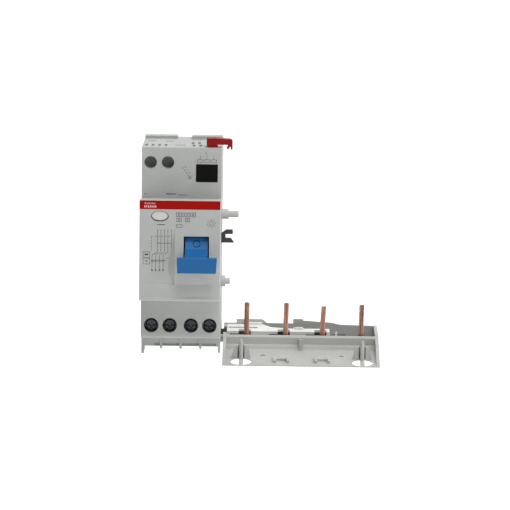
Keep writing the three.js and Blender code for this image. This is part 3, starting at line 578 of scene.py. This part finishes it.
class Print:
    """Ink strokes on a flat face. Places are given along the face's own right and up directions."""

    THICK = 0.02
    CLEAR = 0.005

    def __init__(self, origin, right=(1, 0, 0), up=(0, 0, 1)):
        self.right = Vector(right)
        self.up = Vector(up).normalized()
        self.out = self.right.cross(self.up)
        self.origin = Vector(origin) + self.out * self.CLEAR
        self.shape = bmesh.new()

    def line(self, u0, v0, u1, v1, width=FINE):
        a = self.origin + self.right * u0 + self.up * v0
        b = self.origin + self.right * u1 + self.up * v1
        side = (b - a).cross(self.out).normalized() * width / 2
        low = [self.shape.verts.new(c) for c in (a - side, b - side, b + side, a + side)]
        high = [self.shape.verts.new(v.co + self.out * self.THICK) for v in low]
        self.shape.faces.new(low)
        self.shape.faces.new(high)
        for i in range(4):
            j = (i + 1) % 4
            self.shape.faces.new((low[i], low[j], high[j], high[i]))

    def dashes(self, u0, v0, u1, v1, count, width=FINE, share=0.6):
        """A broken line, in which each dash takes a share of its own stretch."""
        across = u1 - u0
        rise = v1 - v0
        for i in range(count):
            a = i / count
            b = (i + share) / count
            self.line(u0 + across * a, v0 + rise * a, u0 + across * b, v0 + rise * b, width)

    def frame(self, u0, v0, u1, v1, width=FINE):
        self.line(u0, v0, u1, v0, width)
        self.line(u1, v0, u1, v1, width)
        self.line(u1, v1, u0, v1, width)
        self.line(u0, v1, u0, v0, width)

    def ring(self, u, v, radius, parts=24, share=1.0, width=FINE):
        """A ring of short straight strokes, with gaps between them where share is under 1."""
        for i in range(parts):
            a = 2 * math.pi * i / parts
            b = a + 2 * math.pi * share / parts
            ends = [(u + radius * math.cos(t), v + radius * math.sin(t)) for t in (a, b)]
            self.line(*ends[0], *ends[1], width)

    def done(self, name, body="block", material=None):
        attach(add_piece(name, self.shape, material or INK), body)


def conductors(p):
    """Circuit diagram: conductors come down, pass the sensing loop and end at the terminals."""
    tops = [-9.6 + 1.5 * i for i in range(5)]
    feet = [-11.9 + 1.6 * i for i in range(4)]
    last = tops[-1]
    bend = -1.0
    loop = 5.9
    loop_left = -12.2
    for x in tops:
        p.line(x, 9.0, x, bend)
    for x, foot in zip(tops, feet):
        p.line(x, bend, foot, -2.2)
        p.line(foot, -2.2, foot, -8.7)
        p.ring(foot, -9.0, 0.3, parts=10, width=BOLD)
    p.dashes(loop_left, loop, last, loop, 6)
    p.dashes(loop_left, loop, loop_left, -0.9, 5)
    p.line(tops[0], 2.9, last, 2.9, BOLD)
    p.line(-12.4, -4.6, feet[-1] + 1.2, -4.6, 0.3)
    p.line(-12.4, -5.3, feet[-1] + 0.6, -5.3)
    p.line(last, bend, last, -3.6)
    p.line(last, -3.6, feet[-1] + 1.2, -3.6)


def boxes_by_diagram(p):
    left = -15.8
    right = -12.9
    p.frame(left, -0.9, right, -3.4)
    p.frame(left, -3.8, right, -6.3)
    p.line(-15.2, -2.1, -13.5, -2.1, 0.7)
    p.line(-15.0, -5.0, -13.7, -5.0, 0.4)


def marks_by_button(p):
    """A plain bar under the test button, and rows of blank boxes in the space beside it."""
    p.line(-9.9, 11.0, -6.4, 11.0, 0.35)
    for i in range(7):
        left = -1.5 + 1.25 * i
        p.frame(left, 14.5, left + 0.8, 16.3, 0.22)
    for i in (0, 1, 3, 4):
        left = -1.3 + 1.2 * i
        p.frame(left, 12.4, left + 0.8, 13.9, 0.2)
    p.frame(-1.4, 11.1, 1.1, 9.9)


def round_mark(p):
    p.ring(13.7, 11.7, 1.75, parts=8, share=0.5)
    p.ring(13.7, 11.7, 0.9, parts=16)


def nose_print():
    p = Print((0, NOSE_FRONT, 0))
    conductors(p)
    boxes_by_diagram(p)
    marks_by_button(p)
    round_mark(p)
    p.done("front_print")


def panel_print():
    """Plain dashes on the face that runs back in below the toggle."""
    p = Print((0, -65.9, -8.5), up=(0, -2.1, 6.3))
    right = 16.6
    p.dashes(11.2, -3.9, right, -3.9, 5, 0.9)
    p.dashes(-0.9, -5.7, right, -5.7, 16, 0.8)
    p.done("panel_print")


def stripe_print():
    """Two rows of plain pale dashes on the red stripe."""
    p = Print((0, NOSE_FRONT, 0))
    upper = 20.25
    lower = 18.85
    p.dashes(-15.2, upper, -10.3, upper, 6, 0.6, 0.55)
    p.dashes(-15.4, lower, -9.9, lower, 7, 0.9)
    p.done("stripe_print", material=PALE_INK)


def shoulder_print():
    """Three small pictures over the lock button, a dashed arrow to it, and bars along the stripe."""
    p = Print((0, SHOULDER_FRONT, 0))
    plate = 36.0
    plate_top = 37.2
    for x in (6.9, 9.9, 12.9):
        p.frame(x, plate, x + 2.4, plate_top)
        p.line(x + 1.2, plate_top, x + 1.2, 38.9)
    p.line(10.4, 40.7, 11.1, 39.3)
    p.dashes(0.3, 33.8, 4.4, 28.3, 5, 0.25)
    p.dashes(1.4, 34.2, 5.2, 29.3, 4, 0.2)
    p.ring(3.6, 29.2, 0.6, parts=12)
    p.line(-16.3, 21.9, -15.3, 21.9, BOLD)
    p.line(-6.8, 21.9, -2.4, 21.9, 0.4)
    p.line(-1.6, 21.5, 2.4, 21.5, BOLD)
    p.done("shoulder_print")


def ledge_print():
    """Plain dashes on the top face, seen at a flat angle."""
    p = Print((0, 0, LEDGE_TOP), up=(0, 1, 0))
    for left, right, y in ((-15.4, -11.9, -20), (-7.8, -4.3, -21), (-3, 1.5, -36), (3.9, 9.4, -14)):
        p.dashes(left, y, right, y, 5, 2.2, 0.7)
    p.done("ledge_print")


def toggle_mark():
    """A ring and a bar on the toggle's face, as off marks are drawn."""
    p = Print((7.33, -62.05, 2.6), up=(0, 2.3, 4.8))
    p.ring(0, 0, 1.5, parts=28, width=0.4)
    p.line(0, -0.6, 0, 0.6, 0.35)
    p.done("toggle_mark", "toggle", BLUE_INK)


# ---- Camera, floor and light --------------------------------------------------------------------
CAMERA_AT = (0.039357, -1.344, 0.191256)
CAMERA_YAW = math.radians(0.297)
CAMERA_PITCH = math.radians(8.571)
CAMERA_ROLL = math.radians(0.716)
LENS = 210.95
SENSOR = 36

LIGHTS_AIM = (0.03, -0.03, 0)
TENT_LEVEL = 0.55
BRIGHT_SIDE = (0.55, 0.2, 0.3)
FLAG_SIDE = Vector((-0.85, -0.5, 0.1)).normalized()
FLAG_STARTS = 0.35
FLAG_FULL = 0.9
FLAG_TAKES = -0.5

BASE_DROP = 12.5 * MM
FLOOR_SIZE = 40
FLOOR_GREY = (0.35, 0.35, 0.35, 1)
FLOOR_GLOW = 0.7
FLOOR_GLOW_SEEN = 0.92
PURE_WHITE = (1, 1, 1, 1)


def camera():
    """A long lens a little above the device, turned a little and rolled a little."""
    data = bpy.data.cameras.new("camera")
    data.sensor_width = SENSOR
    data.lens = LENS
    data.clip_start = 0.05
    data.clip_end = 20
    made = bpy.data.objects.new("camera", data)
    scene.collection.objects.link(made)
    level = math.cos(CAMERA_PITCH)
    back = Vector((math.sin(CAMERA_YAW) * level, -math.cos(CAMERA_YAW) * level, math.sin(CAMERA_PITCH)))
    right = Vector((math.cos(CAMERA_YAW), math.sin(CAMERA_YAW), 0))
    up = back.cross(right)
    rolled_right = right * math.cos(CAMERA_ROLL) + up * math.sin(CAMERA_ROLL)
    rolled_up = up * math.cos(CAMERA_ROLL) - right * math.sin(CAMERA_ROLL)
    turn = Matrix((rolled_right, rolled_up, back)).transposed()
    made.matrix_world = Matrix.Translation(CAMERA_AT) @ turn.to_4x4()
    scene.camera = made


def area_light(name, place, size, power):
    data = bpy.data.lights.new(name, "AREA")
    data.shape = "RECTANGLE"
    data.size, data.size_y = size
    data.energy = power
    made = bpy.data.objects.new(name, data)
    scene.collection.objects.link(made)
    made.location = place
    made.rotation_mode = "QUATERNION"
    made.rotation_quaternion = (Vector(LIGHTS_AIM) - Vector(place)).to_track_quat("-Z", "Y")


def tent():
    """A white tent, brighter above and to the right, with a dark flag to the left of the camera."""
    world = bpy.data.worlds.new("studio")
    world.use_nodes = True
    g = Graph(world.node_tree)
    background = g.tree.nodes["Background"]
    towards = g.node("ShaderNodeTexCoord").outputs["Generated"]

    def facing(direction):
        made = g.tree.nodes.new("ShaderNodeVectorMath")
        made.operation = "DOT_PRODUCT"
        g.feed(made.inputs[0], towards)
        g.feed(made.inputs[1], direction)
        return made.outputs["Value"]

    flag = g.spread(facing(FLAG_SIDE), 0, FLAG_TAKES, FLAG_STARTS, FLAG_FULL)
    level = g.maths("ADD", facing(BRIGHT_SIDE), TENT_LEVEL)
    lighting = g.maths("ADD", level, flag)
    g.feed(background.inputs["Strength"], g.spread(g.camera_ray(), lighting, 1, 0, 1))
    g.feed(background.inputs["Color"], PURE_WHITE)
    scene.world = world


def studio():
    tent()
    area_light("key_light", (0.15, -0.75, 0.85), (0.35, 0.25), 2.6)
    area_light("top_light", (0.2, -0.1, 0.9), (0.9, 0.7), 3.8)


def floor():
    """Lies low enough for the base to slide all the way down its guide."""
    mesh = bpy.data.meshes.new("floor")
    made = bpy.data.objects.new("floor", mesh)
    shape = bmesh.new()
    bmesh.ops.create_grid(shape, x_segments=1, y_segments=1, size=FLOOR_SIZE)
    shape.to_mesh(mesh)
    shape.free()
    made.location.z = cad_box[0].z - BASE_DROP
    scene.collection.objects.link(made)
    s = Shader("floor_white")
    glow = s.spread(s.camera_ray(), FLOOR_GLOW, FLOOR_GLOW_SEEN, 0, 1)
    s.set(Base_Color=FLOOR_GREY, Emission_Color=PURE_WHITE, Emission_Strength=glow)
    mesh.materials.append(s.material)


coat_cad_parts()
cables()
copper_ends()
winding()
nose_print()
panel_print()
stripe_print()
shoulder_print()
ledge_print()
toggle_mark()
camera()
studio()
floor()
scene.view_settings.view_transform = "Standard"
